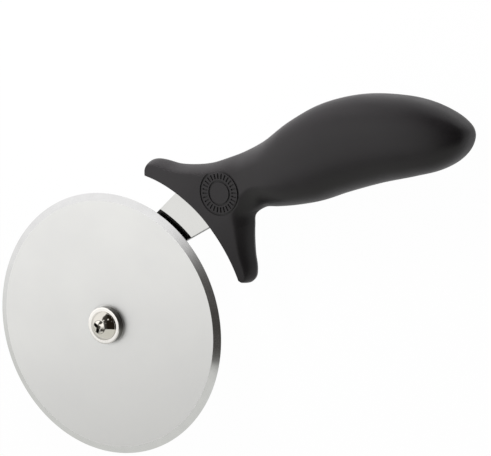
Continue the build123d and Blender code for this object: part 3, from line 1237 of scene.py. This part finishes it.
    def lines(self, line: Array, reach: Array) -> list[tuple[Array, Array, Array]]:
        """Matching points of the outline and the spine, for the upper and the lower half.

        Args:
            line: points of the outline.
            reach: how far its side reaches inwards at each of them.

        Returns:
            For each half its outline points, its spine points and the reach of its side at each of them,
            from a wing's corner to the grip's end.
        """
        end = int(np.argmax(line[:, 0]))
        middle = self.around(0.0, 0.0)
        grip_turn = np.linspace(0, math.pi / 2, self.grip_steps)
        spine_x = middle[0] + (line[end, 0] - middle[0]) * np.sin(grip_turn)
        follow = smooth_step(middle[0], self.fan_end, spine_x)
        halves = []
        full = np.column_stack([line, reach])
        for side, neck, corner in ((full[:end + 1], self.neck_upper, self.upper_wing[0][0]),
                                   (full[end:][::-1], self.neck_lower, self.lower_wing[0][0])):
            after = len(side) - int(np.argmax(side[::-1, 0] < neck)) - 1
            wing, grip = side[:after + 1], side[after:]
            run = np.concatenate([[0], np.cumsum(np.linalg.norm(np.diff(wing[:, :2], axis=0), axis=1))])
            at = np.linspace(0, run[-1], self.wing_steps)
            outer = np.column_stack([np.interp(at, run, wing[:, k]) for k in range(3)])
            off_x, off_y = wing[:, 0] - self.arc_x, wing[:, 1] - self.arc_y
            angle = np.degrees(np.arctan2(off_y, off_x)) - self.axis_angle
            share = np.interp(at, run, angle / self.half_span)
            even = corner * (1 - at / run[-1])
            radial = np.minimum(np.abs(share), abs(corner)) * np.sign(corner)
            own = smooth_step(0, self.corner_fan, at) * (1 - smooth_step(*self.late_fan, at / run[-1]))
            falling = np.minimum.accumulate(np.abs(radial * own + even * (1 - own))) * np.sign(corner)
            inner = self.around(falling + self.corner_spread * (even - falling), 0.0)
            outer_x = spine_x + (neck - middle[0]) * (1 - follow)
            rest = [np.interp(outer_x, grip[:, 0], grip[:, k]) for k in (1, 2)]
            halves.append((np.vstack([outer, np.column_stack([outer_x, *rest])[1:]]), inner))
        top, bottom = (outer[self.wing_steps - 1:, 1] for outer, inner in halves)
        rise = smooth_step(middle[0], middle[0] + self.spine_rise, spine_x)
        spine_y = middle[1] + (self.grip_level - middle[1]) * rise
        spine_y = spine_y + ((top + bottom) / 2 - spine_y) * follow
        spine = np.column_stack([spine_x, spine_y])[1:]
        return [(outer[:, :2], np.vstack([inner, spine]), outer[:, 2:]) for outer, inner in halves]

    def across(self, outer: Array, inner: Array, reach: Array) -> Array:
        """Points from the outline to the spine: close together in the rounding and at the crescent's edge.

        Args:
            outer: points of the outline.
            inner: the matching points of the spine.
            reach: how far the side reaches inwards at each of them.

        Returns:
            One row of points for each pair.
        """
        gap = np.linalg.norm(inner - outer, axis=1)[:, None]
        grip = smooth_step(*self.swell, outer[:, :1])
        first = np.minimum(self.rounding_reach * reach, self.rounding_share * gap)
        first = first + (self.grip_share * gap - first) * grip
        last = np.minimum(self.last_reach * self.edge_radius, self.last_share * gap)
        power = self.crowding[0] + self.crowding[1] * grip
        start = first * np.linspace(0, 1, self.rounding_columns)[None] ** power
        run = first + (gap - last - first) * np.linspace(0, 1, self.flat_columns)[None, 1:]
        stop = gap - last * np.linspace(1, 0, self.edge_columns)[None, 1:] ** 2
        along = np.concatenate([start, run, stop], axis=1) / np.maximum(gap, WELD)
        return outer[:, None] + (inner - outer)[:, None] * along[..., None]

    def surface(self) -> Mesh:
        """Points and quads of the whole moulding, with levels from its middle plane.

        Returns:
            The points and the quads.
        """
        line, side_reach = self.outline()
        parts = []
        for outer, inner, reach in self.lines(line, side_reach):
            flat = self.across(outer, inner, reach)
            level = self.height(flat[..., 0].ravel(), flat[..., 1].ravel(), line, side_reach)
            level = level.reshape(flat.shape[:2])
            level[:, 0] = 0
            wall = inner[:self.wing_steps][:, None] + np.zeros((1, self.wall_columns, 1))
            wall_level = level[:self.wing_steps, -1:] * np.linspace(1, -1, self.wall_columns)[None]
            for sheet, height in ((flat, level), (flat, -level), (wall, wall_level)):
                points = np.concatenate([sheet, height[..., None]], axis=2).reshape(-1, 3)
                parts.append((points, sheet_faces(*height.shape)))
        return joined(parts)

    def emblem_tool(self, middle: float) -> Mesh:
        """Cutter for a plain emblem: two rings and, between them, short radial ticks.

        Args:
            middle: level of the handle's middle plane.

        Returns:
            The points and the quads.
        """
        top = middle + self.guard_half + self.emblem_clear
        floor = middle + self.guard_half - self.emblem_depth
        parts = []
        for radius in (self.emblem_radius, self.emblem_inner):
            inner = radius - self.emblem_line
            corners = [(inner, floor), (radius, floor), (radius, top), (inner, top), (inner, floor)]
            parts.append(turned(np.array(corners), self.emblem_segments))
        near = self.emblem_inner + self.emblem_gaps[0]
        far = self.emblem_radius - self.emblem_line - self.emblem_gaps[1]
        half = self.emblem_tick / 2
        box = np.array([(r, side, level) for level in (floor, top)
                        for r, side in ((near, -half), (far, -half), (far, half), (near, half))])
        sides = np.array([
            (0, 1, 2, 3), (4, 5, 6, 7), (0, 1, 5, 4), (1, 2, 6, 5), (2, 3, 7, 6), (3, 0, 4, 7)])
        turn = np.linspace(0, FULL_TURN, self.emblem_ticks, endpoint=False)[:, None]
        x = box[:, 0] * np.cos(turn) - box[:, 1] * np.sin(turn)
        y = box[:, 0] * np.sin(turn) + box[:, 1] * np.cos(turn)
        ticks = np.stack([x, y, box[:, 2] + 0 * turn], axis=-1)
        parts += [(tick, sides) for tick in ticks]
        points, faces = joined(parts)
        return points + [*self.around(self.emblem_share, self.emblem_setback), 0], faces

    def build(self) -> None:
        """Makes the moulding round the shank's middle plane, cuts its emblem and dresses it."""
        low, high, _ = self.places.span("shank")
        middle = (low + high) / 2
        points, faces = self.surface()
        piece = self.make("moulded_handle", (points + [0, 0, middle], faces), self.sharp_angle)
        cut(piece, self.make("emblem_cutter", self.emblem_tool(middle)), self.sharp_angle)
        self.dress(piece, Body.FRAME, Slot.PLASTIC, "handle", CHARCOAL_PLASTIC)


@dataclass(frozen=True)
class Lamp:
    """Round light in the room: its way and its half sizes in degrees, and its level."""

    azimuth: float
    elevation: float
    half_width: float
    half_height: float
    level: float


@dataclass
class Studio:
    """Camera at the photograph's angle, soft lights, a bright room with one dark side, and a pale floor.

    A step holds the two values between which it eases, and what it goes from and to. The room's steps
    count in degrees from the camera's way: azimuth to its right, elevation upwards.
    """

    places: Places
    aim: Pair = (72.367 * MM, 22.031 * MM)
    distance: float = 1053.826 * MM
    azimuth: float = 92.339
    elevation: float = 56.340
    roll: float = -107.719
    lens: float = 209.372
    softbox_offset: Triple = (-0.15, 0.19, 0.07)
    softbox_size: float = 0.10
    softbox_power: float = 1.0
    softbox_tint: Colour = (1.0, 0.98, 0.99)
    card_distance: float = 0.45
    card_size: float = 0.50
    card_ramp: Step = (-0.125, 0.0, 0.40, 1.28)
    card_tint: Colour = (1.0, 0.997, 0.985)
    wall_step: Step = (-24.0, 16.0, 0.0, 1.0)
    wall_low: Colour = (0.72, 0.725, 0.69)
    wall_high: Colour = (1.02, 1.015, 1.0)
    lean_steps: tuple[Step, Step] = ((6.0, 30.0, 0.0, 16.0), (42.0, 60.0, 0.0, -11.0))
    left_steps: tuple[Step, Step] = ((-34.3, -26.4, 0.0, 0.9), (-26.3, -21.3, 0.0, 0.1))
    right_step: Step = (40.0, 56.0, 1.0, 0.0)
    table_step: Step = (-34.9, -31.5, 0.0, 1.0)
    top_step: Step = (60.0, 80.0, 1.0, 0.3)
    shade_step: Step = (-17.0, -5.0, 0.0, 1.0)
    shade_left: Colour = (0.050, 0.046, 0.041)
    shade_right: Colour = (0.016, 0.012, 0.008)
    lamps: tuple[Lamp, ...] = (
        Lamp(azimuth=-2.0, elevation=30.0, half_width=5.5, half_height=4.0, level=1.0),
        Lamp(azimuth=-32.0, elevation=22.5, half_width=4.5, half_height=3.5, level=1.0),
        Lamp(azimuth=-17.0, elevation=5.0, half_width=3.5, half_height=3.0, level=0.2),
        Lamp(azimuth=22.0, elevation=17.0, half_width=4.0, half_height=3.0, level=0.14),
    )
    lamp_edge: Pair = (0.7, 1.3)
    lamp_tint: Colour = (1.0, 0.98, 0.94)
    fill: Colour = (0.42, 0.41, 0.42)
    white: Colour = (1.0, 1.0, 1.0)
    floor_reach: float = 4.0
    floor_segments: int = 96
    floor_grain: float = 9.0
    floor_dark: Colour = (0.80, 0.80, 0.795)
    floor_light: Colour = (0.84, 0.84, 0.835)
    floor_camera_share: float = 0.985
    floor_gloss_share: float = 0.6

    def axes(self) -> tuple[Vector, Vector, Vector]:
        """Right, up and backward ways of the camera, turned about its line of sight by its roll.

        Returns:
            The three unit ways.
        """
        angles = self.azimuth, self.elevation, self.roll
        azimuth, elevation, roll = (math.radians(angle) for angle in angles)
        flat = math.cos(elevation)
        back = Vector((math.sin(azimuth) * flat, -math.cos(azimuth) * flat, math.sin(elevation)))
        level = Vector((0, 0, 1)).cross(back).normalized()
        right = level * math.cos(roll) + back.cross(level) * math.sin(roll)
        return right, back.cross(right), back

    def target(self) -> Vector:
        """Point that the camera looks at, in the plane of the disc's edge."""
        return Vector(self.places.placed(np.array([*self.aim, 0.0])))

    def add_camera(self) -> None:
        """Puts the camera where the photograph was taken from."""
        data = bpy.data.cameras.new("photo_camera")
        data.lens = self.lens
        camera = linked("photo_camera", data)
        right, up, back = self.axes()
        turn = Matrix((right, up, back)).transposed().to_4x4()
        camera.matrix_world = Matrix.Translation(self.target() + back * self.distance) @ turn
        bpy.context.scene.camera = camera

    def add_softbox(self) -> None:
        """Puts a square softbox at an offset to the right, up and back of the aim, facing it."""
        light = bpy.data.lights.new("top_softbox", "AREA")
        light.size, light.energy, light.color = self.softbox_size, self.softbox_power, self.softbox_tint
        lamp = linked("top_softbox", light)
        away = sum((axis * reach for axis, reach in zip(self.axes(), self.softbox_offset)), Vector())
        lamp.location = self.target() + away
        lamp.rotation_euler = away.to_track_quat("Z", "Y").to_euler()
        lamp.visible_camera = lamp.visible_glossy = False

    def add_room(self) -> None:
        """World: white to the camera, and to light and gloss a bright room with one dark side near it.

        The dark side is the product of an eased step at each of its four sides. A lamp's step eases by the
        root of the summed squares of its two angles, each over its half size.
        """
        world = bpy.data.worlds.new("bright_room")
        world.use_nodes = True
        bpy.context.scene.world = world
        nodes = Nodes(world.node_tree)
        place = nodes.add("TexCoord").outputs["Generated"]
        across, rise, near = (nodes.vector("DOT_PRODUCT", place, tuple(axis)) for axis in self.axes())
        azimuth = nodes.math("DEGREES", nodes.math("ARCTAN2", across, near))
        elevation = nodes.math("DEGREES", nodes.math("ARCSINE", rise))
        lean = nodes.math("ADD", *(nodes.eased(elevation, *step) for step in self.lean_steps))
        leaned = nodes.math("ADD", azimuth, lean)
        dark = nodes.math("ADD", *(nodes.eased(leaned, *step) for step in self.left_steps))
        for angle, step in ((azimuth, self.right_step), (elevation, self.table_step),
                            (elevation, self.top_step)):
            dark = nodes.math("MULTIPLY", dark, nodes.eased(angle, *step))
        wall = nodes.mixed(nodes.eased(elevation, *self.wall_step), self.wall_low, self.wall_high)
        shade = nodes.mixed(nodes.eased(azimuth, *self.shade_step), self.shade_left, self.shade_right)
        glossy = nodes.mixed(dark, wall, shade)
        for lamp in self.lamps:
            gaps = []
            for angle, centre, half in ((azimuth, lamp.azimuth, lamp.half_width),
                                        (elevation, lamp.elevation, lamp.half_height)):
                gap = nodes.math("DIVIDE", nodes.math("SUBTRACT", angle, centre), half)
                gaps.append(nodes.math("MULTIPLY", gap, gap))
            far = nodes.math("SQRT", nodes.math("ADD", *gaps))
            share = nodes.eased(far, *self.lamp_edge, lamp.level, 0.0)
            glossy = nodes.mixed(share, glossy, self.lamp_tint)
        path = nodes.add("LightPath").outputs
        seen = nodes.mixed(path["Is Glossy Ray"], self.fill, glossy)
        seen = nodes.mixed(path["Is Camera Ray"], seen, self.white)
        background = nodes.add("Background", {"Color": seen, "Strength": 1.0})
        nodes.add("OutputWorld", {"Surface": background.outputs[0]})

    def add_card(self) -> None:
        """Reflector card in the mirror direction of the disc, brighter at its top, that only gloss sees."""
        _, up, back = self.axes()
        facing = Vector((-back.x, -back.y, back.z))
        across = up.cross(facing).normalized()
        rise = facing.cross(across)
        middle = self.target() + facing * self.card_distance
        half = self.card_size / 2
        signs = (-1, -1), (1, -1), (1, 1), (-1, 1)
        corners = [middle + across * (half * a) + rise * (half * b) for a, b in signs]
        mesh = bpy.data.meshes.new("reflector_card")
        mesh.from_pydata(corners, [], [(0, 1, 2, 3)])
        card = linked("reflector_card", mesh)
        card.visible_camera = card.visible_diffuse = False
        card.visible_shadow = card.visible_transmission = False
        material, nodes = new_material("reflector_card")
        gap = nodes.vector("SUBTRACT", nodes.add("TexCoord").outputs["Object"], tuple(middle))
        names = ("Value", "From Min", "From Max", "To Min", "To Max")
        values = (nodes.vector("DOT_PRODUCT", gap, tuple(rise)), *self.card_ramp)
        strength = nodes.add("MapRange", dict(zip(names, values))).outputs["Result"]
        glow = nodes.add("Emission", {"Color": (*self.card_tint, 1.0), "Strength": strength})
        nodes.add("OutputMaterial", {"Surface": glow.outputs[0]})
        mesh.materials.append(material)

    def add_floor(self) -> None:
        """Round pale floor: white to the camera and in gloss, with a part of its shading kept."""
        points, faces = turned(np.array([(0, 0), (self.floor_reach, 0)]), self.floor_segments)
        floor = make_piece("pale_floor", points, faces)
        material, nodes = new_material("pale_floor")
        place = nodes.add("TexCoord").outputs["Object"]
        noise = nodes.add("TexNoise", {"Vector": place, "Scale": self.floor_grain}).outputs["Fac"]
        matt = nodes.add("BsdfDiffuse", {"Color": nodes.mixed(noise, self.floor_dark, self.floor_light)})
        white = nodes.add("Emission", {"Color": (*self.white, 1.0), "Strength": 1.0})
        path = nodes.add("LightPath").outputs
        clear = nodes.math("MAXIMUM", path["Is Glossy Ray"], path["Is Transmission Ray"])
        gloss = nodes.math("MULTIPLY", clear, self.floor_gloss_share)
        seen = nodes.math("MULTIPLY", path["Is Camera Ray"], self.floor_camera_share)
        share = nodes.math("MAXIMUM", seen, gloss)
        blend = nodes.add("MixShader", {0: share, 1: matt.outputs[0], 2: white.outputs[0]})
        nodes.add("OutputMaterial", {"Surface": blend.outputs[0]})
        floor.data.materials.append(material)

    def build(self) -> None:
        """Sets up the camera, the room, the softbox, the card and the floor."""
        bpy.context.scene.view_settings.view_transform = "Standard"
        self.add_camera()
        self.add_room()
        self.add_softbox()
        self.add_card()
        self.add_floor()


def main() -> None:
    """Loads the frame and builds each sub-assembly round it."""
    logging.basicConfig(level=logging.INFO, format="%(name)s: %(message)s")
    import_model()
    places = Places.read(Disc.bevel_depth)
    shop = Workshop(places)
    Studio(places).build()
    for sub_assembly in (Disc, Axle, Shank, Handle):
        sub_assembly(places, shop).build()


if __name__ == "__main__":
    main()
